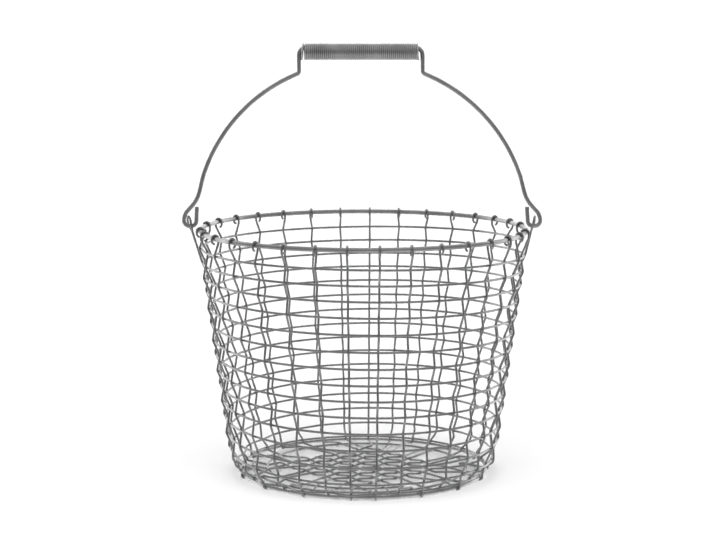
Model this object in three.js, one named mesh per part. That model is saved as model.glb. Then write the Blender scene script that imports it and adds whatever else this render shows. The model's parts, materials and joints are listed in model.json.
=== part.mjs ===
// Woven steel wire basket with a loose bail and a coiled wire grip.
// Millimetres, +Z up. The origin is under the centre of the basket, on the surface it stands on,
// +X points at the right-hand ear and -Y at the front.
import * as THREE from 'three';

// Body of the basket
const rimRadius = 172.5; // centre line of the rim wire
const baseRingRadius = 132; // centre line of the base ring
const hipSpread = 8.7; // wall where it turns in, beyond the base ring
const wallSpread = 1.2; // top of the wall beyond the rim wire
const bodyHeight = 257.6; // rim wire above the base ring
const hipHeight = 12; // hip above the base ring
const baseLift = 0.4; // woven base above the base ring
const hipShare = 0.6; // height of a stake's last bend, as a share of the hip's
const hipBulge = 3; // last bend of a stake that comes down outside the weaver
const hipClear = 4; // least height of the lowest crossing above that bend
const shoulderRise = 3.4; // where a stake that passes inside the base ring turns down

// Wires, by diameter
const rimWire = 4.8;
const baseRingWire = 3;
const stakeWire = 2.4;
const weaverWire = 2.4;
const bailWire = 4.6;
const coilWire = 2.1;

// Clearances between the wires
const weaveGap = 0.9; // between crossing wires, measured between flat faces
const hookGap = 0.6; // inside a rim hook
const footGap = 0.6; // inside a foot loop
const legGap = 0.5; // between the two legs of an ear
const eyeGap = 0.35; // beside the bail in the eye of an ear
const turnGap = 0.45; // between drawn turns of the grip coil
const restGap = 0.3; // where the coil hangs on the bail

// Stakes around the wall
const frontStakes = 16;
const backStakes = 15;
const backShift = 2.7; // degrees that the rear stakes lean towards the right-hand ear
const crowding = 4.6; // degrees that the first front stake stands nearer to the left-hand ear
const crowdedStakes = 6; // front stakes over which that dies out

// Weaver that winds down the wall
const rowPitch = 16.575;
const topDrop = 13.8; // first turn below the rim
const lowestRow = 8.8; // last turn above the base ring
const topTilt = -2.9; // rise of the rear of the first turn
const bottomTilt = 6; // rise of the rear of the last turn
const startTurn = -0.235; // the weaver starts beside the right-hand ear
const startRise = 14; // extra climb a turn on the way back to the start
const ringLead = 0.32; // turns from the weaver's end to where the base ring follows as its next turn

// Woven base
const gridSpacing = 17.5;
const gridWires = 8; // in each direction
const gridTurn = 41; // degrees, direction of the first family of wires
const gridEnd = 5.75; // straight run past the last crossing
const missingWire = 3; // the second family's wire that stops short of the rear wall
const stopRun = 9; // how far it runs past its last crossing
const baseWeaverInset = 12;
const baseWeaverTurns = 1.348;
const baseWeaverStart = 170; // degrees
const baseWeaverMargin = 11; // between its last turn and the corner of the grid
const weaverTail = 2.2; // degrees past the last crossing

// Ears
const earStandoff = 7.9; // eye beyond the rim wire, at the height of the bail's axis
const earLean = 0.26; // outward lean of the eye
const earNeck = 1.1; // ear closer in at the height of the rim
const eyeRise = 6; // straight legs of the eye above the bail's axis
const earTail = 8; // cut ends of the ear past its crossing of the base weaver
const earRise = 4; // straight run above its first crossing

// Foot loops
const footFlat = 20; // degrees, half of the flat underside
const footFacet = 35; // degrees a facet

// Bail
const pivotRise = 3.5; // bail's axis above the rim wire
const hookInset = 3.6; // inner leg of the bail's hook beyond the rim wire
const hookWidth = 11.8;
const hookBend = 3.5;
const hookTipRise = 20; // cut tip above the bail's axis
const flareRise = 12; // foot of the flare above the bail's axis
const flareBend = 7;
const archGrowth = 4.3; // arch radius over the rim's
const archRise = 0.7; // arch centre above the rim wire
const archFoot = 10; // degrees, where the arch turns into the flare
const archStep = 8; // degrees a facet
const shoulderReach = 66.2; // riser from the middle of the bail
const shoulderBend = 5;
const gripBend = 9;
const gripRise = 191.94; // grip stretch of the bail above the rim wire

// Grip
const gripLength = 123.1;
const gripDiameter = 18;
const gripTurns = 57;
const curlSteps = 8;
const curlSides = 5;

// Facets
const thinSides = 4;
const thickSides = 6;
const rimFacets = 66;
const baseFacets = 33;

const turn = 2 * Math.PI;
const degree = Math.PI / 180;

// A wire with a polygonal section keeps the cross-section area of the round wire.
const sectionRadius = (diameter, sides) =>
  (diameter / 2) * Math.sqrt(turn / (sides * Math.sin(turn / sides)));
const flatHalf = (diameter) => sectionRadius(diameter, thinSides) * Math.cos(Math.PI / thinSides);

const stakeHalf = flatHalf(stakeWire);
const weaverHalf = flatHalf(weaverWire);
const rimSection = sectionRadius(rimWire, thickSides);
const baseRingSection = sectionRadius(baseRingWire, thickSides);
const bailSection = sectionRadius(bailWire, thickSides);
const weaveOffset = stakeHalf + weaverHalf + weaveGap;
const crossOffset = stakeHalf + weaveGap / 2;
const hookRadius = rimSection + stakeHalf + hookGap;
const footRadius = baseRingSection + stakeHalf + footGap;

// A foot loop goes round the outside and the underside of the base ring. It is flat underneath.
const footAngles = [footFlat + 2 * footFacet, footFlat + footFacet, footFlat, -footFlat,
  -footFlat - footFacet].map((angle) => (angle - 90) * degree);
const footTilt = (footFlat + footFacet / 2) * degree / 2;
const baseHeight = footRadius * Math.cos(footFlat * degree) + stakeHalf * Math.cos(footTilt);
const rimHeight = baseHeight + bodyHeight;
const basePlane = baseHeight + baseLift;

// A piece is one mesh with a satin steel surface of its own.
const basket = new THREE.Group();
function addPiece(name, geometry, color, roughness) {
  const material = new THREE.MeshStandardMaterial({ color, roughness, metalness: 1 });
  const mesh = new THREE.Mesh(geometry, material);
  mesh.name = name;
  basket.add(mesh);
  return mesh;
}

// Sweep a polygonal section along straight steps. across is the direction of the section's first
// axis: one vector carried along without twist, or one vector for each point.
function wireGeometry(points, sides, radius, across) {
  const last = points.length - 1;
  const steps = points.slice(1).map((point, i) => point.clone().sub(points[i]).normalize());
  const tangents = points.map((point, i) =>
    steps[Math.max(i - 1, 0)].clone().add(steps[Math.min(i, last - 1)]).normalize());
  const perPoint = Array.isArray(across);
  const first = (perPoint ? across[0] : across).clone();
  const positions = [];
  tangents.forEach((tangent, i) => {
    if (i > 0) {
      const bend = new THREE.Quaternion().setFromUnitVectors(tangents[i - 1], tangent);
      first.applyQuaternion(bend);
    }
    if (perPoint) {
      first.copy(across[i]);
    }
    first.addScaledVector(tangent, -first.dot(tangent)).normalize();
    const second = new THREE.Vector3().crossVectors(tangent, first);
    for (let side = 0; side < sides; side += 1) {
      const angle = (side + 0.5) * turn / sides;
      const corner = points[i].clone()
        .addScaledVector(first, radius * Math.cos(angle))
        .addScaledVector(second, radius * Math.sin(angle));
      positions.push(corner.x, corner.y, corner.z);
    }
  });
  const faces = [];
  for (let i = 0; i < last; i += 1) {
    for (let side = 0; side < sides; side += 1) {
      const next = (side + 1) % sides;
      const a = i * sides + side;
      const b = i * sides + next;
      faces.push(a, b, b + sides, a, b + sides, a + sides);
    }
  }
  for (let side = 1; side < sides - 1; side += 1) {
    faces.push(0, side + 1, side);
    faces.push(last * sides, last * sides + side, last * sides + side + 1);
  }
  const geometry = new THREE.BufferGeometry();
  geometry.setAttribute('position', new THREE.Float32BufferAttribute(positions, 3));
  geometry.setIndex(faces);
  geometry.computeVertexNormals();
  return geometry;
}

// A closed hoop about the vertical axis.
function hoopGeometry(radius, section, facets, height) {
  const profile = [];
  for (let side = 0; side <= thickSides; side += 1) {
    const angle = (side + 0.5) * turn / thickSides;
    profile.push(new THREE.Vector2(radius + section * Math.cos(angle), section * Math.sin(angle)));
  }
  profile[thickSides].copy(profile[0]);
  return new THREE.LatheGeometry(profile, facets).rotateX(Math.PI / 2).translate(0, 0, height);
}

// Stake positions around the wall, anticlockwise from the right-hand ear. The ears take places 0
// and leftEar, the rear stakes lie between them and the front stakes fill the rest.
const leftEar = backStakes + 1;
const places = leftEar + 1 + frontStakes;
const placeAngle = (place) => {
  if (place <= leftEar) {
    const even = place * Math.PI / leftEar;
    return even - backShift * degree * Math.sin(even);
  }
  const crowd = Math.max(0, 1 - (place - leftEar - 1) / crowdedStakes);
  return Math.PI + (place - leftEar) * Math.PI / (frontStakes + 1) - crowding * degree * crowd;
};
const outward = (angle) => new THREE.Vector3(Math.cos(angle), Math.sin(angle), 0);
const around = (angle) => new THREE.Vector3(-Math.sin(angle), Math.cos(angle), 0);
const polar = (radius, angle, z) => outward(angle).multiplyScalar(radius).setZ(z);

// Weaving surface of the wall: a cone, with a steeper band below the hip.
const hipRadius = baseRingRadius + hipSpread;
const wallTopRadius = rimRadius + wallSpread;
const wallSlope = (wallTopRadius - hipRadius) / (bodyHeight - hipHeight);
const wallRadius = (z) => {
  const height = z - baseHeight;
  if (height < hipHeight) {
    return baseRingRadius + hipSpread * height / hipHeight;
  }
  return wallTopRadius - wallSlope * (bodyHeight - height);
};

// The weaver is one spiral, counted in turns from the rear. The tilt of its turns changes evenly
// from the first to the last.
const wallTurns = (bodyHeight - topDrop - lowestRow) / rowPitch;
const rowHeight = (turns) => {
  const woven = Math.max(turns, 0);
  const tilt = topTilt + (bottomTilt - topTilt) * woven / wallTurns;
  const climb = startRise * Math.min(turns, 0);
  return rimHeight - topDrop - rowPitch * woven + tilt * Math.cos(turn * woven) - climb;
};
const turnsAt = (angle, lap) => angle / turn - 0.25 + lap;

// Wall crossings of one stake, from the top down. The number of stakes is odd, so that a stake
// passes outside the weaver on every other turn.
function wallCrossings(place) {
  const crossings = [];
  for (let lap = 0; lap <= wallTurns + 1; lap += 1) {
    const turns = turnsAt(placeAngle(place), lap);
    if (turns > startTurn && turns < wallTurns) {
      const z = rowHeight(turns);
      const side = (place + lap * places) % 2 === 1 ? 1 : -1;
      crossings.push({ turns, z, radius: wallRadius(z), side });
    }
  }
  return crossings;
}

// The stakes pass the base ring as they pass the weaver: by turns outside and under it, which
// makes a foot, or inside it.
function makesFoot(place) {
  const lap = Math.ceil(wallTurns + ringLead - turnsAt(placeAngle(place), 0));
  return (place + lap * places) % 2 === 1;
}

// Profile of a stake from its top crossing down to the inside of the base ring, as radius and z.
function wallProfile(place) {
  const crossings = wallCrossings(place);
  const profile = crossings.map(({ z, radius, side }) => [radius + side * weaveOffset, z]);
  const lowest = crossings[crossings.length - 1];
  const hip = baseHeight + hipHeight * hipShare;
  if (lowest.z > hip + hipClear) {
    const bulge = lowest.side > 0 ? hipBulge : 0;
    profile.push([wallRadius(hip) + bulge, hip]);
  }
  if (!makesFoot(place)) {
    const inside = baseRingRadius - footRadius;
    profile.push([inside, baseHeight + shoulderRise], [inside, basePlane]);
    return profile;
  }
  for (const angle of footAngles) {
    const radius = baseRingRadius + footRadius * Math.cos(angle);
    profile.push([radius, baseHeight + footRadius * Math.sin(angle)]);
  }
  return profile;
}

// Hook over the rim, from its cut end to the riser. It rises on the side of the rim that is
// opposite to the side of its first crossing, and curls over to the other.
function rimHook(side) {
  const profile = [];
  for (let angle = -75; angle <= 180; angle += 42.5) {
    const reach = side * hookRadius * Math.cos(angle * degree);
    profile.push([rimRadius + reach, rimHeight + hookRadius * Math.sin(angle * degree)]);
  }
  return profile;
}

// Base weaver: a flat spiral from the base ring towards the corners of the grid.
const gridHalf = gridSpacing * (gridWires - 1) / 2;
const spiralStart = baseRingRadius - baseWeaverInset;
const spiralEnd = gridHalf * Math.SQRT2 + baseWeaverMargin;
const spiralPitch = (spiralStart - spiralEnd) / baseWeaverTurns;
const spiralRadius = (angle) => spiralStart - spiralPitch * (angle - baseWeaverStart * degree) / turn;

// Where a straight wire from one point of the base to another crosses the base weaver, and on
// which side it passes.
const baseCrossings = [];
function crossBase(place, inner, outer) {
  const found = [];
  for (let lap = 0; lap <= baseWeaverTurns + 1; lap += 1) {
    const angleAt = (share) => {
      const spot = inner.clone().lerp(outer, share);
      const wrapped = (Math.atan2(spot.y, spot.x) + turn) % turn;
      const nearest = Math.round((placeAngle(place) - wrapped) / turn) * turn;
      return wrapped + nearest + lap * turn;
    };
    let low = 0;
    let high = 1;
    for (let i = 0; i < 40; i += 1) {
      const middle = (low + high) / 2;
      const spot = inner.clone().lerp(outer, middle);
      if (Math.hypot(spot.x, spot.y) < spiralRadius(angleAt(middle))) {
        low = middle;
      } else {
        high = middle;
      }
    }
    const angle = angleAt(low);
    const travelled = (angle - baseWeaverStart * degree) / turn;
    if (low > 0 && travelled > 0 && travelled < baseWeaverTurns) {
      const side = (place + lap * places) % 2 === 1 ? 1 : -1;
      found.push({ share: low, angle, side, spot: inner.clone().lerp(outer, low) });
      baseCrossings.push({ angle, spot: inner.clone().lerp(outer, low).setZ(basePlane) });
    }
  }
  return found.sort((a, b) => b.share - a.share)
    .map(({ spot, side }) => spot.setZ(basePlane + side * weaveOffset));
}

// One side of a stake, from its hook to the point where it reaches the grid. Each spot carries
// the level direction across the wire, on the guide's side.
function stakeSide(place, gridEdge, guide) {
  const angle = placeAngle(place);
  const facing = (vector) => (vector.dot(guide) < 0 ? vector.negate() : vector);
  const profile = [...rimHook(wallCrossings(place)[0].side), ...wallProfile(place)];
  const upright = profile.map(([radius, z]) =>
    ({ spot: polar(radius, angle, z), across: facing(around(angle)) }));
  const foot = upright[upright.length - 1].spot;
  const fan = foot.clone().sub(gridEdge);
  const level = crossBase(place, gridEdge, foot).map((spot) =>
    ({ spot, across: facing(new THREE.Vector3(-fan.y, fan.x, 0).normalize()) }));
  return [...upright, ...level];
}

// Grid of the base. The first family runs along gridTurn and the second across it.
const along = outward(gridTurn * degree);
const acrossGrid = around(gridTurn * degree);
const gridOffset = (index) => index * gridSpacing - gridHalf;
const gridPoint = (a, b, z) =>
  along.clone().multiplyScalar(a).addScaledVector(acrossGrid, b).setZ(z);
const gridLift = (first, second) => ((first + second) % 2 === 0 ? crossOffset : -crossOffset);

function gridRun(index, family) {
  const offset = gridOffset(index);
  const across = family === 0 ? acrossGrid : along;
  const sign = family === 0 ? 1 : -1;
  const travels = [gridHalf + gridEnd];
  for (let other = gridWires - 1; other >= 0; other -= 1) {
    travels.push(gridOffset(other));
  }
  travels.push(-gridHalf - gridEnd);
  return travels.map((travel, step) => {
    const other = gridWires - Math.min(Math.max(step, 1), gridWires);
    const z = basePlane + sign * gridLift(index, other);
    const spot = family === 0 ? gridPoint(travel, offset, z) : gridPoint(offset, travel, z);
    return { spot, across };
  });
}
function stakeGeometry(path) {
  return wireGeometry(path.map(({ spot }) => spot), thinSides, sectionRadius(stakeWire, thinSides),
    path.map(({ across }) => across));
}

// The first family: wires that run from a rear stake, across the base, to a front stake.
for (let index = 0; index < gridWires; index += 1) {
  const run = gridRun(index, 0);
  const rear = stakeSide(1 + index, run[0].spot, acrossGrid);
  const front = stakeSide(leftEar + gridWires - index, run[run.length - 1].spot, acrossGrid);
  const geometry = stakeGeometry([...rear, ...run, ...front.reverse()]);
  addPiece(`through_stake_a${index + 1}`, geometry, 0x8b8d8f, 0.36);
}

// The second family: the same across the first, except for one wire that has no rear stake.
for (let index = 0; index < gridWires; index += 1) {
  const run = gridRun(index, 1);
  const front = stakeSide(leftEar + gridWires + 1 + index, run[run.length - 1].spot, along);
  const color = 0x87898c;
  if (index === missingWire) {
    const across = run[0].across;
    const cut = gridPoint(gridOffset(index), gridHalf + stopRun, run[0].spot.z);
    run[0] = { spot: cut, across };
    addPiece('half_stake', stakeGeometry([...run, ...front.reverse()]), color, 0.36);
  } else {
    const place = leftEar - 1 - index + (index > missingWire ? 1 : 0);
    const rear = stakeSide(place, run[0].spot, along);
    const geometry = stakeGeometry([...rear, ...run, ...front.reverse()]);
    addPiece(`through_stake_b${index + 1}`, geometry, color, 0.36);
  }
}

// Ears: hairpins woven in as a double stake, with an eye outside the rim for the bail.
const pivotHeight = rimHeight + pivotRise;
const eyeHalf = bailSection + stakeHalf + eyeGap;
const legHalf = stakeHalf + legGap / 2;
function earPath(place) {
  const angle = placeAngle(place);
  const side = around(angle);
  const wall = wallProfile(place);
  const neck = [rimRadius + earStandoff - earNeck, rimHeight, eyeHalf];
  const axisSpot = [rimRadius + earStandoff, pivotHeight, eyeHalf];
  const eyeSpot = [rimRadius + earStandoff + earLean * eyeRise, pivotHeight + eyeRise, eyeHalf];
  const foot = wall[wall.length - 1];
  const lapsBefore = Math.ceil(baseWeaverStart / 360 - angle / turn);
  const endRadius = spiralRadius(angle + lapsBefore * turn) - earTail;
  const innerEnd = polar(endRadius, angle, basePlane);
  const onBase = crossBase(place, innerEnd, polar(foot[0], angle, foot[1]));
  const base = onBase.reverse().map((spot) => [Math.hypot(spot.x, spot.y), spot.z]);
  const endLevel = base[0][1];
  const leg = [[endRadius, endLevel], ...base, ...wall.reverse()]
    .map(([radius, z]) => [radius, z, legHalf]);
  const [topRadius, topHeight] = leg[leg.length - 1];
  leg.push([topRadius, topHeight + earRise, legHalf], neck, axisSpot, eyeSpot);
  const rising = leg.map(([radius, z, half]) => polar(radius, angle, z).addScaledVector(side, -half));
  const falling = leg.map(([radius, z, half]) => polar(radius, angle, z).addScaledVector(side, half));
  const lean = outward(angle).multiplyScalar(earLean).setZ(1).normalize();
  const centre = polar(eyeSpot[0], angle, eyeSpot[1]);
  const top = [];
  for (let step = 1; step < 4; step += 1) {
    const spin = Math.PI * step / 4;
    const spot = centre.clone().addScaledVector(side, -eyeHalf * Math.cos(spin));
    top.push(spot.addScaledVector(lean, eyeHalf * Math.sin(spin)));
  }
  return [...rising, ...top, ...falling.reverse()];
}
for (const [name, place] of [['ear_right', 0], ['ear_left', leftEar]]) {
  const geometry = wireGeometry(earPath(place), thinSides, sectionRadius(stakeWire, thinSides),
    around(placeAngle(place)));
  addPiece(name, geometry, 0x7f8184, 0.38);
}

// Weaver of the wall, with a corner at each stake.
const weaverStops = [];
for (let place = 0; place < places; place += 1) {
  for (const { turns } of wallCrossings(place)) {
    weaverStops.push(turns);
  }
}
weaverStops.sort((a, b) => a - b);
const tailTurns = weaverTail / 360;
weaverStops.unshift(weaverStops[0] - tailTurns);
weaverStops.push(weaverStops[weaverStops.length - 1] + tailTurns);
const weaverAngles = weaverStops.map((turns) => (turns + 0.25) * turn);
const weaverPath = weaverStops.map((turns, i) =>
  polar(wallRadius(rowHeight(turns)), weaverAngles[i], rowHeight(turns)));
addPiece('wall_weaver', wireGeometry(weaverPath, thinSides, sectionRadius(weaverWire, thinSides),
  weaverAngles.map(outward)), 0x929496, 0.34);

// Weaver of the base.
baseCrossings.sort((a, b) => a.angle - b.angle);
const spiralAngles = baseCrossings.map(({ angle }) => angle);
const spiralPath = baseCrossings.map(({ spot }) => spot);
const headAngle = spiralAngles[0] - weaverTail * degree;
const tailAngle = spiralAngles[spiralAngles.length - 1] + weaverTail * degree;
spiralPath.unshift(polar(spiralRadius(headAngle), headAngle, basePlane));
spiralPath.push(polar(spiralRadius(tailAngle), tailAngle, basePlane));
spiralAngles.unshift(headAngle);
spiralAngles.push(tailAngle);
addPiece('base_weaver', wireGeometry(spiralPath, thinSides, sectionRadius(weaverWire, thinSides),
  spiralAngles.map(outward)), 0x8e9092, 0.36);

// Hoops
addPiece('rim_ring', hoopGeometry(rimRadius, rimSection, rimFacets, rimHeight), 0x8f9193, 0.3);
addPiece('base_ring', hoopGeometry(baseRingRadius, baseRingSection, baseFacets, baseHeight),
  0x8d8f91, 0.34);

// Round the corners of a path in the XZ plane. A corner is x, z and the bend's radius.
function roundCorners(corners) {
  const path = [];
  corners.forEach(([x, z, bend = 0], i) => {
    const corner = new THREE.Vector3(x, 0, z);
    if (bend === 0) {
      path.push(corner);
      return;
    }
    const from = new THREE.Vector3(corners[i - 1][0], 0, corners[i - 1][1]).sub(corner).normalize();
    const to = new THREE.Vector3(corners[i + 1][0], 0, corners[i + 1][1]).sub(corner).normalize();
    const half = Math.acos(from.dot(to)) / 2;
    const centre = from.clone().add(to).normalize().multiplyScalar(bend / Math.sin(half)).add(corner);
    const start = from.multiplyScalar(bend / Math.tan(half)).add(corner).sub(centre);
    const end = to.multiplyScalar(bend / Math.tan(half)).add(corner).sub(centre);
    const sweep = Math.PI - 2 * half;
    const count = Math.max(2, Math.round(sweep / (30 * degree)));
    const direction = Math.sign(new THREE.Vector3().crossVectors(start, end).y);
    for (let step = 0; step <= count; step += 1) {
      const spin = new THREE.Vector3(0, direction, 0);
      path.push(start.clone().applyAxisAngle(spin, sweep * step / count).add(centre));
    }
  });
  return path;
}

// Bail: one thick wire with a raised grip stretch, an arch and a hook at each end.
const archRadius = rimRadius + archGrowth;
const archHeight = rimHeight + archRise;
const gripHeight = rimHeight + gripRise;
const hookIn = rimRadius + hookInset;
const hookOut = hookIn + hookWidth;
const archTop = Math.acos(shoulderReach / archRadius);
const archBottom = archFoot * degree;
const archCount = Math.ceil((archTop - archBottom) / (archStep * degree));
const halfBail = [[0, gripHeight], [shoulderReach, gripHeight, gripBend]];
for (let step = 0; step <= archCount; step += 1) {
  const angle = archTop + (archBottom - archTop) * step / archCount;
  const bend = step === 0 ? shoulderBend : 0;
  halfBail.push([archRadius * Math.cos(angle), archHeight + archRadius * Math.sin(angle), bend]);
}
halfBail.push([hookOut, pivotHeight + flareRise, flareBend]);
halfBail.push([hookOut, pivotHeight, hookBend]);
halfBail.push([hookIn, pivotHeight, hookBend]);
halfBail.push([hookIn, pivotHeight + hookTipRise]);
const rightBail = roundCorners(halfBail).slice(1);
const leftBail = rightBail.map((spot) => new THREE.Vector3(-spot.x, spot.y, spot.z)).reverse();
const acrossBail = new THREE.Vector3(0, 1, 0);
addPiece('bail', wireGeometry([...leftBail, ...rightBail], thickSides, bailSection, acrossBail),
  0x8a8c8e, 0.32);

// Grip: a close coil that hangs on the bail. Its turns are drawn thinner than the real wire, so
// that they stay apart. The gap over the bail is measured at the middle of a flat, which is the
// closest that any spot comes as the coil rolls, and at rest such a flat lies on top.
const coilPitch = gripLength / (gripTurns + 1);
const drawnWire = Math.min(coilWire, coilPitch - turnGap);
const coilRadius = gripDiameter / 2 - drawnWire / 2;
const insideFace = coilRadius - (drawnWire / 2) * Math.cos(Math.PI / curlSides);
const coilHeight = gripHeight + bailSection + restGap - insideFace * Math.cos(Math.PI / curlSteps);
const coilPath = [];
const coilAcross = [];
for (let step = 0; step <= gripTurns * curlSteps; step += 1) {
  const angle = turn * (step + 0.5) / curlSteps;
  const ray = new THREE.Vector3(0, Math.cos(angle), Math.sin(angle));
  const x = coilPitch * (step / curlSteps - gripTurns / 2);
  coilAcross.push(ray.clone().negate());
  coilPath.push(ray.clone().multiplyScalar(coilRadius).add(new THREE.Vector3(x, 0, coilHeight)));
}
addPiece('grip_coil', wireGeometry(coilPath, curlSides, drawnWire / 2, coilAcross), 0x8c8e90, 0.34);

let leastGap = Infinity;
coilPath.forEach((spot, i) => {
  for (let j = i + curlSteps / 2; j < coilPath.length; j += 1) {
    leastGap = Math.min(leastGap, spot.distanceTo(coilPath[j]) - drawnWire);
  }
});
console.log(`least gap between turns of the grip coil: ${leastGap.toFixed(2)} mm`);

export default basket;
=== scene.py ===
import json
import math
import random

import bpy
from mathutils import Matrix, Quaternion, Vector


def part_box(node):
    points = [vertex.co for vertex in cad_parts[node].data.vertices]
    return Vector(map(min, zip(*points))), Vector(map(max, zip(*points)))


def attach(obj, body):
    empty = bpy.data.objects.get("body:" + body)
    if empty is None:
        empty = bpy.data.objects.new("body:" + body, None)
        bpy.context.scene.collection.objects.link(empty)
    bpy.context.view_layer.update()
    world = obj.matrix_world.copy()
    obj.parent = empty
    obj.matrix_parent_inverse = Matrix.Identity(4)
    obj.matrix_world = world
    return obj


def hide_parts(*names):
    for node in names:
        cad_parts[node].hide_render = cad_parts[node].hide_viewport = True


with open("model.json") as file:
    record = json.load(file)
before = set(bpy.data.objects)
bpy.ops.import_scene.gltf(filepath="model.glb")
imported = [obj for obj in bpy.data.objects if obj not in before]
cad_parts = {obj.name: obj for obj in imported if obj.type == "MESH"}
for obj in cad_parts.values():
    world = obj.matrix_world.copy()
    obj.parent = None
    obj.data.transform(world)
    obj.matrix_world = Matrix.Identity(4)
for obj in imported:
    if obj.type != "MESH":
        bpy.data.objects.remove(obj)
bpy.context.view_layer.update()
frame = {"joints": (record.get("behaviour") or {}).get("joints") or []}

# Camera. It stands where the photograph was taken from, two metres in front of the basket and
# a little above its handle, and looks down by eight degrees through a long lens.
MM = 0.001  # sizes are in millimetres, and Blender's are in metres
camera_place = (-5.45, -2083.8, 512)
camera_dip = 8.03  # degrees below level
focal_length = 99.36
film_width = 36
scene = bpy.context.scene
camera_lens = bpy.data.cameras.new("camera")
camera_lens.sensor_width = film_width
camera_lens.lens = focal_length
camera = bpy.data.objects.new("camera", camera_lens)
camera.location = Vector(camera_place) * MM
camera.rotation_euler = (math.radians(90 - camera_dip), 0, 0)
scene.collection.objects.link(camera)
scene.camera = camera


# Base ring. A hoop of thin steel wire at the foot of the wall, butt welded with a low bead.
# Every other stake goes round it from below and makes a foot, and the next passes inside it.
TURN = 2 * math.pi
stake_wire = 2.4
base_ring_wire = 3
base_ring_radius = 132
base_ring_facets = 220
base_ring_weld = math.radians(63)  # angles run anticlockwise from the right-hand ear
touch = 0.03  # between wires that lie against each other
foot_radius = (base_ring_wire + stake_wire) / 2 + touch
base_ring_height = foot_radius + stake_wire / 2
cut_edge = math.radians(50)  # only the edge of a cut end is sharper than this


def add_node(tree, kind, inputs=None, **settings):
    """One node with its settings. inputs gives a socket a value, or the socket to link it to."""
    node = tree.nodes.new(kind)
    for name, value in settings.items():
        setattr(node, name, value)
    for name, value in (inputs or {}).items():
        if isinstance(value, bpy.types.NodeSocket):
            tree.links.new(value, node.inputs[name])
        else:
            node.inputs[name].default_value = value
    return node


def new_tree(name, sockets):
    """An empty geometry tree with its named inputs and one geometry output."""
    tree = bpy.data.node_groups.new(name, "GeometryNodeTree")
    for label, kind in sockets.items():
        tree.interface.new_socket(label, in_out="INPUT", socket_type=kind)
    tree.interface.new_socket("Geometry", in_out="OUTPUT", socket_type="NodeSocketGeometry")
    return tree


def drawn_wire_tree():
    """A round wire along a path. Each vertex keeps its place round and along the wire."""
    tree = new_tree("Drawn wire", {
        "Path": "NodeSocketGeometry", "Wire diameter": "NodeSocketFloat",
        "Sides": "NodeSocketInt", "Swell": "NodeSocketFloat", "Steel": "NodeSocketMaterial"})
    source = add_node(tree, "NodeGroupInput")
    along = add_node(tree, "GeometryNodeSplineParameter")
    path = add_node(tree, "GeometryNodeStoreNamedAttribute", {
        "Geometry": source.outputs["Path"], "Name": "run", "Value": along.outputs["Length"]},
        data_type="FLOAT", domain="POINT")
    half = add_node(tree, "ShaderNodeMath", {0: source.outputs["Wire diameter"], 1: 0.5},
                    operation="MULTIPLY")
    circle = add_node(tree, "GeometryNodeCurvePrimitiveCircle", {
        "Resolution": source.outputs["Sides"], "Radius": half.outputs[0]})
    place = add_node(tree, "GeometryNodeInputPosition")
    section = add_node(tree, "GeometryNodeStoreNamedAttribute", {
        "Geometry": circle.outputs["Curve"], "Name": "round", "Value": place.outputs[0]},
        data_type="FLOAT_VECTOR", domain="POINT")
    sweep = add_node(tree, "GeometryNodeCurveToMesh", {
        "Curve": path.outputs[0], "Profile Curve": section.outputs[0],
        "Scale": source.outputs["Swell"], "Fill Caps": True})
    smooth = add_node(tree, "GeometryNodeSetShadeSmooth", {"Geometry": sweep.outputs[0]})
    bend = add_node(tree, "GeometryNodeInputMeshEdgeAngle")
    sharp = add_node(tree, "FunctionNodeCompare", {
        "A": bend.outputs["Unsigned Angle"], "B": cut_edge}, operation="GREATER_THAN")
    rims = add_node(tree, "GeometryNodeSetShadeSmooth", {
        "Geometry": smooth.outputs[0], "Selection": sharp.outputs[0], "Shade Smooth": False},
        domain="EDGE")
    real = add_node(tree, "GeometryNodeRealizeInstances", {"Geometry": rims.outputs[0]})
    steel = add_node(tree, "GeometryNodeSetMaterial", {
        "Geometry": real.outputs[0], "Material": source.outputs["Steel"]})
    add_node(tree, "NodeGroupOutput", {"Geometry": steel.outputs[0]})
    return tree


drawn_wire = drawn_wire_tree()


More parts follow.
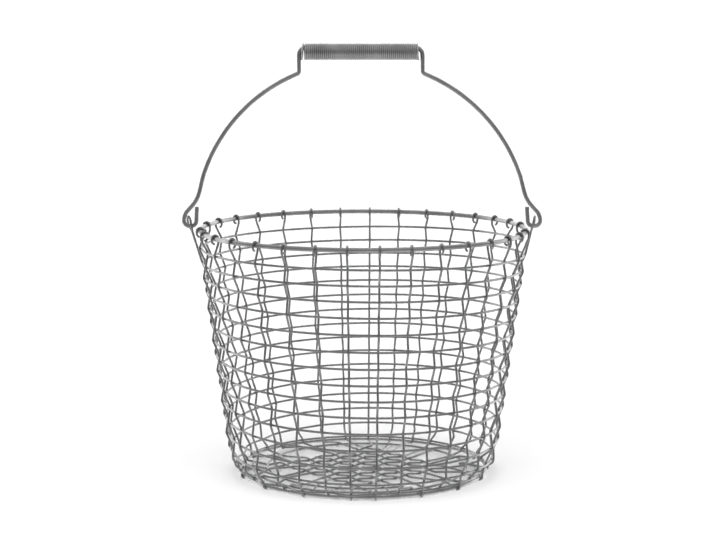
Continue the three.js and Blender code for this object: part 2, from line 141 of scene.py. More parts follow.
def hoop_tree():
    """A wire hoop about the vertical axis, with a weld bead where its ends meet."""
    tree = new_tree("Welded hoop", {
        "Hoop radius": "NodeSocketFloat", "Height": "NodeSocketVector",
        "Wire diameter": "NodeSocketFloat", "Facets": "NodeSocketInt", "Sides": "NodeSocketInt",
        "Weld turn": "NodeSocketRotation", "Bead rise": "NodeSocketFloat",
        "Bead width": "NodeSocketFloat", "Steel": "NodeSocketMaterial"})
    source = add_node(tree, "NodeGroupInput")
    circle = add_node(tree, "GeometryNodeCurvePrimitiveCircle", {
        "Resolution": source.outputs["Facets"], "Radius": source.outputs["Hoop radius"]})
    placed = add_node(tree, "GeometryNodeTransform", {
        "Geometry": circle.outputs["Curve"], "Translation": source.outputs["Height"],
        "Rotation": source.outputs["Weld turn"]})
    spot = add_node(tree, "GeometryNodeSplineParameter")
    length = add_node(tree, "ShaderNodeMath", {0: source.outputs["Hoop radius"], 1: TURN},
                      operation="MULTIPLY")
    back = add_node(tree, "ShaderNodeMath", {0: length.outputs[0], 1: spot.outputs["Length"]},
                    operation="SUBTRACT")
    nearest = add_node(tree, "ShaderNodeMath", {0: spot.outputs["Length"], 1: back.outputs[0]},
                       operation="MINIMUM")
    share = add_node(tree, "ShaderNodeMath", {
        0: nearest.outputs[0], 1: source.outputs["Bead width"]}, operation="DIVIDE")
    square = add_node(tree, "ShaderNodeMath", {0: share.outputs[0], 1: 2.0}, operation="POWER")
    fall = add_node(tree, "ShaderNodeMath", {0: square.outputs[0], 1: -1.0}, operation="MULTIPLY")
    bell = add_node(tree, "ShaderNodeMath", {0: fall.outputs[0]}, operation="EXPONENT")
    swell = add_node(tree, "ShaderNodeMath", {
        0: bell.outputs[0], 1: source.outputs["Bead rise"], 2: 1.0}, operation="MULTIPLY_ADD")
    wire = add_node(tree, "GeometryNodeGroup", {
        "Path": placed.outputs[0], "Wire diameter": source.outputs["Wire diameter"],
        "Sides": source.outputs["Sides"], "Swell": swell.outputs[0],
        "Steel": source.outputs["Steel"]}, node_tree=drawn_wire)
    add_node(tree, "NodeGroupOutput", {"Geometry": wire.outputs[0]})
    return tree


welded_hoop = hoop_tree()


def linear(hex_colour):
    """An sRGB hex colour as a linear colour with alpha."""
    shares = [int(hex_colour[i:i + 2], 16) / 255 for i in (1, 3, 5)]
    return [s / 12.92 if s <= 0.04045 else ((s + 0.055) / 1.055) ** 2.4 for s in shares] + [1.0]


def drawn_steel(name, dull, bright, roughness):
    """Cold-drawn low-carbon steel wire, bright from the die and dulled by handling. The die
    leaves fine lines along the wire, and the dull film comes and goes in patches of a few
    centimetres, which shows as a change of tone and of gloss."""
    line_width = 0.35  # millimetres; real die lines are a tenth of this and wouldn't show
    line_length = 30
    line_depth = 0.02
    line_tone = 0.5  # how much of the change of tone is the lines' own
    patch_size = 22
    dull_below = 0.32  # of the noise that lays the film
    bright_above = 0.68
    dull_gain = 0.07  # of roughness
    bright_loss = 0.06
    steel = bpy.data.materials.new(name)
    steel.use_nodes = True
    tree = steel.node_tree
    tree.nodes.clear()
    across = add_node(tree, "ShaderNodeAttribute", attribute_name="round")
    run = add_node(tree, "ShaderNodeAttribute", attribute_name="run")
    straight = add_node(tree, "ShaderNodeCombineXYZ", {"Z": run.outputs["Fac"]})
    unrolled = add_node(tree, "ShaderNodeVectorMath", {
        0: across.outputs["Vector"], 1: straight.outputs[0]}, operation="ADD")
    stretch = (1 / line_width, 1 / line_width, 1 / line_length)
    grain = add_node(tree, "ShaderNodeVectorMath", {
        0: unrolled.outputs[0], 1: [s / MM for s in stretch]}, operation="MULTIPLY")
    lines = add_node(tree, "ShaderNodeTexNoise", {
        "Vector": grain.outputs[0], "Scale": 1.0, "Detail": 3.0, "Roughness": 0.6})
    where = add_node(tree, "ShaderNodeTexCoord")
    film = add_node(tree, "ShaderNodeTexNoise", {
        "Vector": where.outputs["Object"], "Scale": 1 / (patch_size * MM), "Detail": 4.0,
        "Roughness": 0.55})
    film_share = add_node(tree, "ShaderNodeMapRange", {
        "Value": film.outputs["Fac"], "From Min": dull_below, "From Max": bright_above})
    tone = add_node(tree, "ShaderNodeMath", {
        0: lines.outputs["Fac"], 1: line_tone, 2: -line_tone / 2}, operation="MULTIPLY_ADD")
    mixed = add_node(tree, "ShaderNodeMath", {
        0: film_share.outputs[0], 1: tone.outputs[0]}, operation="ADD", use_clamp=True)
    # Sockets 6 and 7 are the two colours of a Mix node.
    colour = add_node(tree, "ShaderNodeMix", {
        "Factor": mixed.outputs[0], 6: linear(dull), 7: linear(bright)}, data_type="RGBA")
    gloss = add_node(tree, "ShaderNodeMapRange", {
        "Value": mixed.outputs[0], "To Min": roughness + dull_gain,
        "To Max": roughness - bright_loss})
    bump = add_node(tree, "ShaderNodeBump", {
        "Height": lines.outputs["Fac"], "Strength": 0.25, "Distance": line_depth * MM})
    shader = add_node(tree, "ShaderNodeBsdfPrincipled", {
        "Base Color": colour.outputs[2], "Metallic": 1.0, "Roughness": gloss.outputs[0],
        "Normal": bump.outputs[0]})
    add_node(tree, "ShaderNodeOutputMaterial", {"Surface": shader.outputs[0]})
    return steel


ring_steel = drawn_steel("drawn steel, hoops", "#b8b8b9", "#d7d7d8", 0.27)


def make_piece(name, tree, inputs, path=None):
    """The mesh that a tree makes from a path or from its inputs alone, as a new object."""
    holder = bpy.data.objects.new(name, path or bpy.data.meshes.new(name))
    scene.collection.objects.link(holder)
    form = holder.modifiers.new("form", "NODES")
    form.node_group = tree
    for socket in tree.interface.items_tree:
        if socket.in_out == "INPUT" and socket.name in inputs:
            form[socket.identifier] = inputs[socket.name]
    graph = bpy.context.evaluated_depsgraph_get()
    mesh = bpy.data.meshes.new_from_object(
        holder.evaluated_get(graph), preserve_all_data_layers=True, depsgraph=graph)
    bpy.data.objects.remove(holder)
    piece = bpy.data.objects.new(name, mesh)
    mesh.name = name
    scene.collection.objects.link(piece)
    return piece


def seat(piece, body, node):
    """A finished piece rides on its body and stands for its node."""
    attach(piece, body)
    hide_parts(node)


base_ring = make_piece("base_ring_hoop", welded_hoop, {
    "Hoop radius": base_ring_radius * MM, "Height": (0, 0, base_ring_height * MM),
    "Wire diameter": base_ring_wire * MM, "Facets": base_ring_facets, "Sides": 14,
    "Weld turn": (0, 0, base_ring_weld), "Bead rise": 0.12, "Bead width": 1.6 * MM,
    "Steel": ring_steel})
seat(base_ring, "basket", "base_ring")


# Rim ring. The thickest steel wire of the body, bent to a hoop and butt welded beside the
# left-hand ear. Every stake hooks over it.
rim_wire = 4.8
rim_radius = 172.5
rim_facets = 300
rim_weld = math.radians(172)
rim_low, rim_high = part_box("rim_ring")
rim_height = (rim_low.z + rim_high.z) / 2 / MM
rim_ring = make_piece("rim_ring_hoop", welded_hoop, {
    "Hoop radius": rim_radius * MM, "Height": (0, 0, rim_height * MM),
    "Wire diameter": rim_wire * MM, "Facets": rim_facets, "Sides": 18,
    "Weld turn": (0, 0, rim_weld), "Bead rise": 0.09, "Bead width": 2.2 * MM,
    "Steel": ring_steel})
seat(rim_ring, "basket", "rim_ring")


# Wall weaver. One long thin steel wire, wound in a spiral from beside the right-hand ear down to
# the base ring, in front of one stake and behind the next. It is hardly bent, and holds by the
# bends of the stakes.
weaver_wire = 2.4
front_stakes = 16
back_stakes = 15
back_shift = 2.7  # degrees that the rear stakes lean towards the right-hand ear
crowding = 4.6  # degrees that the first front stake stands nearer to the left-hand ear
crowded_stakes = 6  # over which that fades
hip_radius = 140.7  # the wall is steeper above the hip
hip_height = 12  # above the base ring
wall_top_radius = 173.7  # the weave stands a little outside the rim
rear_turn = 0.25  # from the right-hand ear to the rear, where the turns are counted from
row_pitch = 16.575
top_drop = 13.8  # first turn below the rim
top_tilt = -2.9  # rise of the rear of the first turn
bottom_tilt = 6  # rise of the rear of the last full turn
row_swell = 1.9  # half-way down, the turns lie higher than even spacing
row_wander = 0.8  # a hand-laid turn strays this far, over a few turns
wander_turns = 7
wander_start = 1.6
full_turns = 14.2  # down to the base ring
ring_turn = 14.5  # from here the weaver lies on the base ring
start_turn = -0.235  # beside the right-hand ear
start_fall = 14  # a turn, up to the rear
last_turn = 15.2
last_row = 2.9  # the weaver ends on top of the base ring, this high above its middle
row_blend = 1.5  # how softly the spiral comes to lie on the ring
weaver_tail = 0.006  # turns past the last crossing
weaver_wave = 0.1  # the weaver's own bends, in and out
ring_wave = 4.1  # the same just above the base ring, where the stakes push it
ring_offset = 0.6  # it lies this far outside the ring's circle there
ring_wave_top = 4  # the larger bends reach this far above the ring
wall_wave_foot = 17  # and have faded at this height above it
steps_between = 5  # points of the path from one stake to the next

left_ear = back_stakes + 1
places = left_ear + 1 + front_stakes
body_height = rim_height - base_ring_height
wall_slope = (wall_top_radius - hip_radius) / (body_height - hip_height)


def place_angle(place):
    """Angle of a stake. Places run anticlockwise from the right-hand ear, which is place 0."""
    if place <= left_ear:
        even = place * math.pi / left_ear
        return even - math.radians(back_shift) * math.sin(even)
    crowd = max(0, 1 - (place - left_ear - 1) / crowded_stakes)
    even = math.pi + (place - left_ear) * math.pi / (front_stakes + 1)
    return even - math.radians(crowding) * crowd


def wall_radius(z):
    """Radius of the woven wall, which is a cone above the hip and a flatter one below it."""
    height = z - base_ring_height
    if height < hip_height:
        return base_ring_radius + (hip_radius - base_ring_radius) * height / hip_height
    return wall_top_radius - wall_slope * (rim_height - z)


def row_height(turns):
    """Height of the weaver after some turns."""
    woven = max(turns, 0)
    tilt = top_tilt + (bottom_tilt - top_tilt) * woven / full_turns
    swell = row_swell * math.sin(math.pi * min(woven / full_turns, 1))
    wander = row_wander * math.sin(TURN * (woven - wander_start) / wander_turns)
    start = start_fall * min(turns, 0)
    free = rim_height - top_drop - row_pitch * woven + tilt * math.cos(TURN * woven)
    free += swell + wander - start
    low = base_ring_height + last_row
    return (free + low + math.hypot(free - low, row_blend)) / 2


def polar(radius, angle, z):
    """A point at a distance from the basket's axis."""
    return Vector((radius * math.cos(angle), radius * math.sin(angle), z))


def outer_side(place, lap):
    """1 where the stake passes outside or above the weaver, -1 where it passes inside or under."""
    return 1 if (place + lap * places) % 2 == 1 else -1


def wall_crossings(place):
    """Where one stake crosses the weaver, from the top down: turns and side."""
    found = []
    for lap in range(math.ceil(last_turn) + 2):
        turns = place_angle(place) / TURN - rear_turn + lap
        if start_turn < turns < last_turn:
            found.append((turns, outer_side(place, lap)))
    return found


def ring_side(place):
    """Side on which a stake passes the base ring, as if the ring were the weaver's next turn."""
    first = place_angle(place) / TURN - rear_turn
    return outer_side(place, math.ceil(ring_turn - first))


def weaver_radius(turns, side):
    """Radius of the weaver where a stake crosses it on the given side."""
    if turns > ring_turn:
        return base_ring_radius
    z = row_height(turns)
    above = z - base_ring_height
    close = min(max((wall_wave_foot - above) / (wall_wave_foot - ring_wave_top), 0), 1)
    wave = weaver_wave + (ring_wave - weaver_wave) * close
    middle = wall_radius(z) + (base_ring_radius + ring_offset - wall_radius(z)) * close
    return middle - side * wave


def path_curve(name, points):
    """An open path through points in millimetres."""
    curve = bpy.data.curves.new(name, "CURVE")
    curve.dimensions = "3D"
    line = curve.splines.new("POLY")
    line.points.add(len(points) - 1)
    for spot, point in zip(line.points, points):
        spot.co = (*(point * MM), 1)
    return curve


def bent_wire_tree():
    """A wire along the path that it is given, sheared off at both ends."""
    tree = new_tree("Bent wire", {
        "Geometry": "NodeSocketGeometry", "Wire diameter": "NodeSocketFloat",
        "Sides": "NodeSocketInt", "Ring spacing": "NodeSocketFloat",
        "Cut end": "NodeSocketFloat", "Steel": "NodeSocketMaterial"})
    source = add_node(tree, "NodeGroupInput")
    path = add_node(tree, "GeometryNodeResampleCurve", {
        "Curve": source.outputs["Geometry"], "Length": source.outputs["Ring spacing"]},
        mode="LENGTH")
    ends = add_node(tree, "GeometryNodeCurveEndpointSelection")
    swell = add_node(tree, "GeometryNodeSwitch", {
        "Switch": ends.outputs[0], "False": 1.0, "True": source.outputs["Cut end"]},
        input_type="FLOAT")
    wire = add_node(tree, "GeometryNodeGroup", {
        "Path": path.outputs[0], "Wire diameter": source.outputs["Wire diameter"],
        "Sides": source.outputs["Sides"], "Swell": swell.outputs[0],
        "Steel": source.outputs["Steel"]}, node_tree=drawn_wire)
    add_node(tree, "NodeGroupOutput", {"Geometry": wire.outputs[0]})
    return tree


bent_wire = bent_wire_tree()
# A darker copy of the steel of the hoops and the bail, which paints shade into the thin wire.
weaver_steel = drawn_steel("drawn steel, weaver", "#a8a8a9", "#cbcbcc", 0.27)

stops = sorted(crossing for place in range(places) for crossing in wall_crossings(place))
stops.insert(0, (stops[0][0] - weaver_tail, stops[0][1]))
stops.append((stops[-1][0] + weaver_tail, stops[-1][1]))
weaver_path = []
for (turns, side), (next_turns, next_side) in zip(stops, stops[1:]):
    start = weaver_radius(turns, side)
    end = weaver_radius(next_turns, next_side)
    for step in range(steps_between):
        share = step / steps_between
        here = turns + (next_turns - turns) * share
        ease = (1 - math.cos(math.pi * share)) / 2
        radius = start + (end - start) * ease
        weaver_path.append(polar(radius, (here + rear_turn) * TURN, row_height(here)))
wall_weaver = make_piece("wall_weaver_wire", bent_wire, {
    "Wire diameter": weaver_wire * MM, "Sides": 10, "Ring spacing": 2.6 * MM, "Cut end": 0.8,
    "Steel": weaver_steel}, path_curve("weaver path", weaver_path))
seat(wall_weaver, "basket", "wall_weaver")


# Base weaver. A length of the same wire, laid in a flat spiral between the base ring and the
# corners of the grid. It keeps level, and the stakes bend over and under it.
base_lift = 0.4  # the base lies a little above the middle of its ring
base_plane = base_ring_height + base_lift
grid_spacing = 17.5
grid_wires = 8
grid_half = grid_spacing * (grid_wires - 1) / 2
spiral_start = math.radians(170)
spiral_outer = 120
corner_gap = 11  # between the weaver and the corners of the grid
spiral_inner = grid_half * math.sqrt(2) + corner_gap
spiral_pitch = 16.6
spiral_turns = (spiral_outer - spiral_inner) / spiral_pitch
spiral_steps = 200


def spiral_radius(angle):
    """Radius of the flat spiral. The angle goes on past a full turn."""
    return spiral_outer - spiral_pitch * (angle - spiral_start) / TURN


spiral_path = []
for step in range(spiral_steps + 1):
    angle = spiral_start + TURN * spiral_turns * step / spiral_steps
    spiral_path.append(polar(spiral_radius(angle), angle, base_plane))
base_weaver = make_piece("base_weaver_wire", bent_wire, {
    "Wire diameter": weaver_wire * MM, "Sides": 10, "Ring spacing": 2 * MM, "Cut end": 0.8,
    "Steel": weaver_steel}, path_curve("base weaver path", spiral_path))
seat(base_weaver, "basket", "base_weaver")


# Stakes. Each is one thin wire that hooks over the rim, comes down the wall, goes round or past
# the base ring, crosses the base and climbs the other side. One of them stops short of the rear
# wall. They are bent cold round the weaver, so they zigzag with round bends.
hook_radius = (rim_wire + stake_wire) / 2 + touch
hook_drop = 2.4  # the curl hangs this far below a close turn round the rim
drop_spread = 0.5
hook_tail = -82  # degrees round the rim from its level
tail_spread = 15
hook_step = 14  # degrees from one point of the hook to the next
riser_drop = 5.2  # the stake runs down beside the rim this far before it leans away
weave_reach = (stake_wire + weaver_wire) / 2 + touch
bend_radius = 4.5
bend_step = math.radians(12)
bend_share = 0.48  # of each side of a corner, the most that its bend takes
straight_enough = math.radians(2)  # a corner that turns by less isn't rounded
corner_loss = 0.15  # what the round bend takes off a corner's reach
hip_bend = 10.5  # height of a stake's last bend above the base ring
hip_bulge = 1.1  # of that bend, outside the wall
hip_clearance = 4  # the stake has that bend only where it is this far from each crossing
shoulder_rise = 3.4  # above the base ring, where a stake comes to the side on which it passes
shoulder_clearance = 1.5
foot_start = 0  # degrees round the base ring's wire, from its outside
foot_end = -150
foot_step = 15
grid_turn = math.radians(41)
grid_end = 5.75  # a wire runs straight this far past the last crossing in the grid
grid_gap = 0.07
grid_reach = stake_wire / 2 + grid_gap
short_wire = 3  # of the second family, counted from 0
stop_run = 9  # its cut end lies this far past the last crossing
halvings = 30  # of the step that looks for a crossing
# A darker copy of the steel of the hoops and the bail, which paints shade into the thin stakes.
stake_steel = drawn_steel("drawn steel, stakes", "#a3a3a4", "#c6c6c7", 0.28)
hand = random.Random(11)  # each hook is curled by hand, and none is quite like the next
along = polar(1, grid_turn, 0)  # the way that the first family of wires runs in the base
across = polar(1, grid_turn + math.pi / 2, 0)


def rounded(points, radius):
    """The same path with each corner bent to a radius, as far as its sides allow."""
    path = [points[0]]
    for before, corner, after in zip(points, points[1:], points[2:]):
        back = before - corner
        ahead = after - corner
        half = back.angle(ahead) / 2
        sweep = math.pi - 2 * half
        if sweep < straight_enough:
            path.append(corner)
            continue
        most = min(back.length * bend_share, ahead.length * bend_share)
        reach = min(radius / math.tan(half), most)
        start = corner + back.normalized() * reach
        middle = (back.normalized() + ahead.normalized()).normalized()
        centre = corner + middle * reach / math.cos(half)
        axis = back.cross(ahead).normalized()
        arm = start - centre
        count = max(2, math.ceil(sweep / bend_step))
        for step in range(count + 1):
            path.append(centre + Quaternion(axis, -sweep * step / count) @ arm)
    path.append(points[-1])
    return path


def rim_hook(side):
    """Hook over the rim, from its cut end: radius and height."""
    tail = hook_tail + hand.uniform(-tail_spread, tail_spread)
    drop = hook_drop + hand.uniform(-drop_spread, drop_spread)
    curl = math.ceil(-tail / hook_step)
    crown = math.ceil(180 / hook_step)
    spins = [(tail - tail * step / curl, drop) for step in range(curl + 1)]
    spins += [(180 * step / crown, 0) for step in range(crown + 1)]
    hook = [(rim_radius + side * hook_radius * math.cos(math.radians(spin)),
             rim_height - fall + hook_radius * math.sin(math.radians(spin)))
            for spin, fall in spins]
    return hook + [(rim_radius - side * hook_radius, rim_height - riser_drop)]


def wall_profile(place):
    """Stake from its first crossing to the inside of the base ring: radius and height."""
    profile = []
    hip = base_ring_height + hip_bend
    shoulder = base_ring_height + shoulder_rise
    for turns, side in wall_crossings(place):
        z = row_height(turns)
        if profile and profile[-1][1] - hip > hip_clearance and hip - z > hip_clearance:
            profile.append((wall_radius(hip) + hip_bulge, hip))
        if turns < ring_turn:
            profile.append((weaver_radius(turns, side) + side * (weave_reach + corner_loss), z))
    beside = ring_side(place)
    if profile[-1][1] - hip > hip_clearance:
        profile.append((wall_radius(hip) + hip_bulge, hip))
    if profile[-1][1] > shoulder + shoulder_clearance:
        profile.append((base_ring_radius + beside * foot_radius, shoulder))
    if beside < 0:
        return profile + [(base_ring_radius - foot_radius, base_plane)]
    for degrees in range(foot_start, foot_end - 1, -foot_step):
        spin = math.radians(degrees)
        profile.append((base_ring_radius + foot_radius * math.cos(spin),
                        base_ring_height + foot_radius * math.sin(spin)))
    return profile


def base_crossings(place, inner, outer):
    """Points where a stake crosses the base weaver on its way from the ring to the grid."""
    found = []
    for lap in range(math.ceil(spiral_turns) + 1):
        low = 0.0
        high = 1.0
        for halving in range(halvings):
            middle = (low + high) / 2
            spot = inner.lerp(outer, middle)
            angle = math.atan2(spot.y, spot.x) % TURN
            angle += round((place_angle(place) - angle) / TURN) * TURN + lap * TURN
            if math.hypot(spot.x, spot.y) < spiral_radius(angle):
                low = middle
            else:
                high = middle
        if low > 0 and 0 < angle - spiral_start < spiral_turns * TURN:
            spot = inner.lerp(outer, low)
            lift = outer_side(place, lap) * (weave_reach + corner_loss)
            found.append((low, Vector((spot.x, spot.y, base_plane + lift))))
    return [spot for share, spot in sorted(found, key=lambda item: -item[0])]


def stake_side(place, grid_edge):
    """One side of a stake, from its hook to the edge of the grid."""
    angle = place_angle(place)
    profile = rim_hook(wall_crossings(place)[0][1]) + wall_profile(place)
    upright = [polar(radius, angle, z) for radius, z in profile]
    return upright + base_crossings(place, grid_edge, upright[-1])


def grid_point(a, b, z):
    """A point of the base, from distances along the first family of wires and along the second."""
    spot = along * a + across * b
    spot.z = z
    return spot


def grid_run(index, family):
    """A stake's straight run through the grid, over and under the wires of the other family."""
    offset = index * grid_spacing - grid_half
    travels = [grid_half + grid_end]
    travels += [other * grid_spacing - grid_half for other in reversed(range(grid_wires))]
    travels.append(-grid_half - grid_end)
    run = []
    for step, travel in enumerate(travels):
        other = grid_wires - min(max(step, 1), grid_wires)
        lift = grid_reach if (index + other + family) % 2 == 0 else -grid_reach
        spot = (travel, offset) if family == 0 else (offset, travel)
        run.append(grid_point(*spot, base_plane + lift))
    return run


def bend_stake(name, node, path, steel):
    """A stake or an ear, bent from the stakes' wire."""
    piece = make_piece(name, bent_wire, {
        "Wire diameter": stake_wire * MM, "Sides": 10, "Ring spacing": 1.1 * MM,
        "Cut end": 0.78, "Steel": steel}, path_curve(name, rounded(path, bend_radius)))
    seat(piece, "basket", node)


for index in range(grid_wires):
    run = grid_run(index, 0)
    rear = stake_side(1 + index, run[0])
    front = stake_side(left_ear + grid_wires - index, run[-1])
    path = rear + run + front[::-1]
    bend_stake(f"stake_a{index + 1}", f"through_stake_a{index + 1}", path, stake_steel)

for index in range(grid_wires):
    run = grid_run(index, 1)
    front = stake_side(left_ear + grid_wires + 1 + index, run[-1])
    if index == short_wire:
        offset = index * grid_spacing - grid_half
        cut = grid_point(offset, grid_half + stop_run, run[0].z)
        bend_stake("half_stake_wire", "half_stake", [cut] + run[1:] + front[::-1], stake_steel)
        continue
    place = left_ear - 1 - index + (1 if index > short_wire else 0)
    rear = stake_side(place, run[0])
    path = rear + run + front[::-1]
    bend_stake(f"stake_b{index + 1}", f"through_stake_b{index + 1}", path, stake_steel)


# Ears. Each is a hairpin of the stakes' steel wire, woven into the wall as a double stake. Its
# bend stands outside the rim as an eye for the bail's hook, pulled round a little by the bail.
pivot = Vector(frame["joints"][0]["pos_m"]) / MM
ear_standoff = 8.7  # of the eye, outside the rim
right_slide = -0.7  # the bail draws both eyes towards the left
left_slide = 2.5
right_twist = math.radians(-12)
left_twist = math.radians(25)
eye_half = 4.5  # from the middle of the eye to each leg
eye_rise = 6  # of the middle of its bend, above the pivot
eye_lean = 0.16  # outwards, for each millimetre that it rises
eye_steps = 8
neck_inset = 1.8  # where the legs come together, below the eye
neck_drop = 1  # below the middle of the rim
neck_width = 0.62  # share of the eye's
neck_twist = 0.5  # share of the eye's
leg_half = stake_wire / 2 + touch
ear_tail = 8  # the cut ends lie this far past the base weaver
ear_free = 22  # the legs stand clear of the wall from this far below the rim
# A darker copy of the steel of the hoops and the bail, which paints shade into the ears' thin
# wire.
ear_steel = drawn_steel("drawn steel, ears", "#a4a4a5", "#c6c6c7", 0.28)


def ear_path(place, slide, twist):
    """The hairpin, from one cut end up the wall, round the eye and down to the other."""
    angle = place_angle(place)
    side = polar(1, angle + math.pi / 2, 0)
    wall = [(radius, z) for radius, z in wall_profile(place) if z < rim_height - ear_free]
    laps_before = math.ceil((spiral_start - angle) / TURN)
    end_radius = spiral_radius(angle + laps_before * TURN) - ear_tail
    inner_end = polar(end_radius, angle, base_plane)
    foot = polar(wall[-1][0], angle, wall[-1][1])
    base = [(math.hypot(spot.x, spot.y), spot.z)
            for spot in reversed(base_crossings(place, inner_end, foot))]
    leg = [(end_radius, base[0][1])] + base + wall[::-1]
    eye_radius = rim_radius + ear_standoff + slide
    eye_top = eye_radius + eye_lean * eye_rise
    stations = [(radius, z, leg_half, 0) for radius, z in leg] + [
        (eye_radius - neck_inset, rim_height - neck_drop, eye_half * neck_width,
         twist * neck_twist),
        (eye_radius, pivot.z, eye_half, twist),
        (eye_top, pivot.z + eye_rise, eye_half, twist)]
    rising = []
    falling = []
    for radius, z, half, spin in stations:
        turned = Quaternion((0, 0, 1), spin) @ side
        rising.append(polar(radius, angle, z) - turned * half)
        falling.append(polar(radius, angle, z) + turned * half)
    turned = Quaternion((0, 0, 1), twist) @ side
    lean = polar(eye_lean, angle, 1).normalized()
    centre = polar(eye_top, angle, pivot.z + eye_rise)
    top = []
    for step in range(1, eye_steps):
        spin = math.pi * step / eye_steps
        top.append(centre - turned * eye_half * math.cos(spin) + lean * eye_half * math.sin(spin))
    return rising + top + falling[::-1]


for name, node, place, slide, twist in (
        ("ear_right_wire", "ear_right", 0, right_slide, right_twist),
        ("ear_left_wire", "ear_left", left_ear, left_slide, left_twist)):
    bend_stake(name, node, ear_path(place, slide, twist), ear_steel)


# Bail. The carrying handle: one thick steel wire bent to an arch with a raised stretch for the
# hand, and an open hook at each end that holds an ear.
bail_wire = 4.6
hook_inset = 3.6  # of the hook's inner leg, outside the rim
hook_width = 12.9
hook_bend = 5.8
hook_tip_rise = 20.6  # above the pivot
hook_tip_lean = 1.2  # the cut tip leans in towards the basket
flare_rise = 12  # above the pivot, where the arch bends into the hook
flare_bend = 18  # drawn as 15, because the hook's bend is too near for more
arch_outset = 4.3  # of the arch, from the rim
arch_radius = rim_radius + arch_outset
arch_lift = 0.7  # of its centre, from the rim
arch_height = rim_height + arch_lift
arch_foot = math.radians(10)
arch_foot_bend = 34
arch_foot_length = math.radians(8)  # of the arch, taken up by that bend
arch_count = 36
shoulder_reach = 64.9  # from the middle of the bail to each end of its raised stretch
shoulder_bend = 6  # drawn as 3, because the arch's next point is too near for more
grip_bend = 8
grip_rise = 191.94
grip_height = rim_height + grip_rise
bail_slide = -1.1  # the hooks have play in the ears, and the bail lies towards the left one
bail_lean = -1.5  # further to the left at the grip
bail_steel = drawn_steel("drawn steel, bail", "#b8b8b8", "#d7d7d7", 0.27)


def bend_corners(corners):
    """A path through corners of x, z and bend radius, in the plane of the bail."""
    points = [Vector((x, 0, z)) for x, z, bend in corners]
    path = [points[0]]
    for i in range(1, len(points) - 1):
        if corners[i][2] == 0:
            path.append(points[i])
        else:
            path += rounded(points[i - 1:i + 2], corners[i][2])[1:-1]
    return path + [points[-1]]


arch_top = math.acos(shoulder_reach / arch_radius)
arch_end = arch_foot + arch_foot_length
arch_angles = [arch_top + (arch_end - arch_top) * step / arch_count
               for step in range(arch_count + 1)]
arch_bends = [shoulder_bend] + [0] * arch_count + [arch_foot_bend]
half_bail = [(0, grip_height, 0), (shoulder_reach, grip_height, grip_bend)]
for angle, bend in zip(arch_angles + [arch_foot], arch_bends):
    x = arch_radius * math.cos(angle)
    z = arch_height + arch_radius * math.sin(angle)
    half_bail.append((x, z, bend))
hook_in = rim_radius + hook_inset
hook_out = hook_in + hook_width
half_bail += [
    (hook_out, pivot.z + flare_rise, flare_bend),
    (hook_out, pivot.z, hook_bend),
    (hook_in, pivot.z, hook_bend),
    (hook_in - hook_tip_lean, pivot.z + hook_tip_rise, 0)]
right_bail = bend_corners(half_bail)[1:]
left_bail = [Vector((-spot.x, 0, spot.z)) for spot in reversed(right_bail)]
bail_path = left_bail + right_bail
for spot in bail_path:
    spot.x += bail_slide + bail_lean * (spot.z - pivot.z) / (grip_height - pivot.z)
bail = make_piece("bail_wire", bent_wire, {
    "Wire diameter": bail_wire * MM, "Sides": 20, "Ring spacing": 1.2 * MM, "Cut end": 0.86,
    "Steel": bail_steel}, path_curve("bail path", bail_path))
seat(bail, "bail", "bail")


# Grip. A close coil of thin steel wire that lies loose on the raised stretch of the bail and
# rolls in the hand. It is made as the real one is, as one helix, with its last curl sprung open.
coil_wire = 2.1
grip_length = 123.1
grip_diameter = 18
grip_turns = 57
curl_steps = 36
open_curl = 1.3  # the last curl springs away from the next by this
coil_fall = (grip_diameter - bail_wire) / 2 - coil_wire - touch  # the coil hangs on the bail
coil_axis = Vector((bail_slide + bail_lean, 0, grip_height - coil_fall))
# A lighter copy of the same steel, which paints in the light that the coil mirrors from the floor
# below it.
coil_steel = drawn_steel("drawn steel, coil", "#cacaca", "#e6e6e6", 0.27)


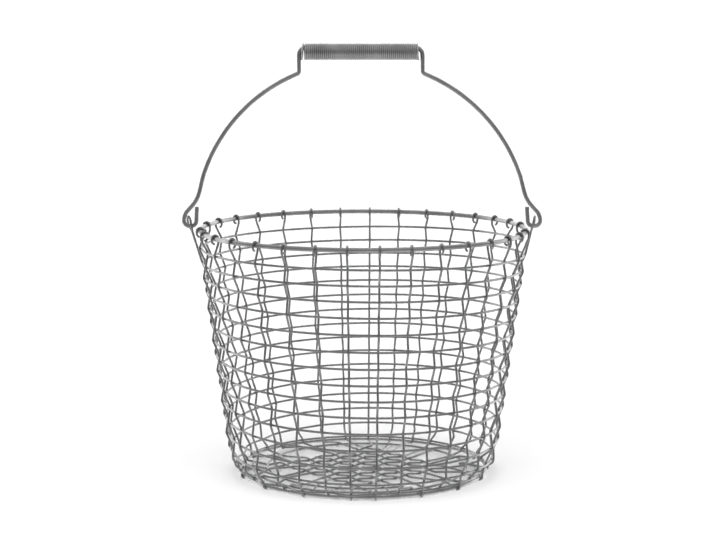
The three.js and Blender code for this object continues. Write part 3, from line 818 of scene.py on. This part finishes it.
def coil_tree():
    """A close coil about the X axis, wound from a helix."""
    tree = new_tree("Close coil", {
        "Turns": "NodeSocketFloat", "Steps a turn": "NodeSocketInt",
        "Coil radius": "NodeSocketFloat", "Coil length": "NodeSocketFloat",
        "Place": "NodeSocketVector", "Open curl": "NodeSocketFloat",
        "Wire diameter": "NodeSocketFloat", "Sides": "NodeSocketInt",
        "Cut end": "NodeSocketFloat", "Steel": "NodeSocketMaterial"})
    source = add_node(tree, "NodeGroupInput")
    helix = add_node(tree, "GeometryNodeCurveSpiral", {
        "Resolution": source.outputs["Steps a turn"], "Rotations": source.outputs["Turns"],
        "Start Radius": source.outputs["Coil radius"], "End Radius": source.outputs["Coil radius"],
        "Height": source.outputs["Coil length"]})
    spot = add_node(tree, "GeometryNodeSplineParameter")
    curl = add_node(tree, "ShaderNodeMath", {0: source.outputs["Coil radius"], 1: TURN},
                    operation="MULTIPLY")
    from_end = add_node(tree, "ShaderNodeMapRange", {
        "Value": spot.outputs["Length"], "From Min": 0.0, "From Max": curl.outputs[0],
        "To Min": 1.0, "To Max": 0.0}, interpolation_type="SMOOTHSTEP")
    spring = add_node(tree, "ShaderNodeMath", {
        0: from_end.outputs[0], 1: source.outputs["Open curl"]}, operation="MULTIPLY")
    shift = add_node(tree, "ShaderNodeMath", {0: spring.outputs[0], 1: -1.0},
                     operation="MULTIPLY")
    offset = add_node(tree, "ShaderNodeCombineXYZ", {"Z": shift.outputs[0]})
    sprung = add_node(tree, "GeometryNodeSetPosition", {
        "Geometry": helix.outputs[0], "Offset": offset.outputs[0]})
    laid = add_node(tree, "GeometryNodeTransform", {
        "Geometry": sprung.outputs[0], "Translation": source.outputs["Place"],
        "Rotation": (0, math.pi / 2, 0)})
    ends = add_node(tree, "GeometryNodeCurveEndpointSelection")
    swell = add_node(tree, "GeometryNodeSwitch", {
        "Switch": ends.outputs[0], "False": 1.0, "True": source.outputs["Cut end"]},
        input_type="FLOAT")
    wire = add_node(tree, "GeometryNodeGroup", {
        "Path": laid.outputs[0], "Wire diameter": source.outputs["Wire diameter"],
        "Sides": source.outputs["Sides"], "Swell": swell.outputs[0],
        "Steel": source.outputs["Steel"]}, node_tree=drawn_wire)
    add_node(tree, "NodeGroupOutput", {"Geometry": wire.outputs[0]})
    return tree


coil_pitch = grip_length / (grip_turns + 1)
coil_length = coil_pitch * grip_turns
grip = make_piece("grip_coil_wire", coil_tree(), {
    "Turns": float(grip_turns), "Steps a turn": curl_steps,
    "Coil radius": (grip_diameter - coil_wire) / 2 * MM, "Coil length": coil_length * MM,
    "Place": (coil_axis - Vector((coil_length / 2, 0, 0))) * MM, "Open curl": open_curl * MM,
    "Wire diameter": coil_wire * MM, "Sides": 10, "Cut end": 0.85, "Steel": coil_steel})
seat(grip, "grip", "grip_coil")


# Floor and light. A plain white floor of matte paper, lit softly and mostly from low down all
# round, so that the woven base shades it. The steel mirrors a grey studio with a bright wall.
floor_half = 20  # metres
grey_walls = 0.21
glow = 1.1  # of the white all round, as the camera sees it
floor_mesh = bpy.data.meshes.new("floor")
corners = [(-floor_half, -floor_half, 0), (floor_half, -floor_half, 0),
           (floor_half, floor_half, 0), (-floor_half, floor_half, 0)]
floor_mesh.from_pydata(corners, [], [(0, 1, 2, 3)])
floor = bpy.data.objects.new("floor", floor_mesh)
floor.visible_glossy = False
scene.collection.objects.link(floor)
paper = bpy.data.materials.new("white paper")
paper.use_nodes = True
paper.node_tree.nodes.clear()
matte = add_node(paper.node_tree, "ShaderNodeBsdfDiffuse", {"Color": linear("#fafafa")})
add_node(paper.node_tree, "ShaderNodeOutputMaterial", {"Surface": matte.outputs[0]})
floor_mesh.materials.append(paper)

world = bpy.data.worlds.new("studio")
world.use_nodes = True
world.cycles.sampling_method = "NONE"
tree = world.node_tree
tree.nodes.clear()
direction = add_node(tree, "ShaderNodeTexCoord")
parts = add_node(tree, "ShaderNodeSeparateXYZ", {0: direction.outputs["Generated"]})
# What the steel mirrors: a bright wall behind, at the basket's height, and grey ones all round.
behind = add_node(tree, "ShaderNodeMapRange", {
    "Value": parts.outputs["Y"], "From Min": 0.05, "From Max": 0.5, "To Min": 0.0,
    "To Max": 0.95}, interpolation_type="SMOOTHSTEP")
slope = add_node(tree, "ShaderNodeMath", {0: parts.outputs["Z"]}, operation="ABSOLUTE")
level_with_it = add_node(tree, "ShaderNodeMapRange", {
    "Value": slope.outputs[0], "From Min": 0.25, "From Max": 0.75, "To Min": 1.0,
    "To Max": 0.1}, interpolation_type="SMOOTHSTEP")
backdrop = add_node(tree, "ShaderNodeMath", {
    0: behind.outputs[0], 1: level_with_it.outputs[0], 2: grey_walls}, operation="MULTIPLY_ADD")
# It also mirrors some light from above, and more from the floor.
above = add_node(tree, "ShaderNodeMapRange", {
    "Value": parts.outputs["Z"], "From Min": 0.05, "From Max": 0.9, "To Min": 0.0,
    "To Max": 0.2}, interpolation_type="SMOOTHSTEP")
below = add_node(tree, "ShaderNodeMapRange", {
    "Value": parts.outputs["Z"], "From Min": -0.05, "From Max": -0.9, "To Min": 0.0,
    "To Max": 0.35}, interpolation_type="SMOOTHSTEP")
over_and_under = add_node(tree, "ShaderNodeMath", {0: above.outputs[0], 1: below.outputs[0]},
                          operation="ADD")
surround = add_node(tree, "ShaderNodeMath", {
    0: backdrop.outputs[0], 1: over_and_under.outputs[0]}, operation="ADD")
# What lights the floor: lamps low down all round, the brightest of them in front.
front_light = add_node(tree, "ShaderNodeMapRange", {
    "Value": parts.outputs["Y"], "From Min": -0.5, "From Max": 0.5, "To Min": 1.4,
    "To Max": 0.6}, interpolation_type="SMOOTHSTEP")
low_light = add_node(tree, "ShaderNodeMapRange", {
    "Value": parts.outputs["Z"], "From Min": 0.3, "From Max": 0.75, "To Min": 3.4,
    "To Max": 0.3}, interpolation_type="SMOOTHSTEP")
lamps = add_node(tree, "ShaderNodeMath", {
    0: front_light.outputs[0], 1: low_light.outputs[0]}, operation="MULTIPLY")
ray = add_node(tree, "ShaderNodeLightPath")
seen = add_node(tree, "ShaderNodeMix", {
    "Factor": ray.outputs["Is Glossy Ray"], "A": glow, "B": surround.outputs[0]})
level = add_node(tree, "ShaderNodeMix", {
    "Factor": ray.outputs["Is Diffuse Ray"], "A": seen.outputs[0], "B": lamps.outputs[0]})
background = add_node(tree, "ShaderNodeBackground", {
    "Color": linear("#ffffff"), "Strength": level.outputs[0]})
add_node(tree, "ShaderNodeOutputWorld", {"Surface": background.outputs[0]})
scene.world = world
scene.view_settings.view_transform = "Standard"
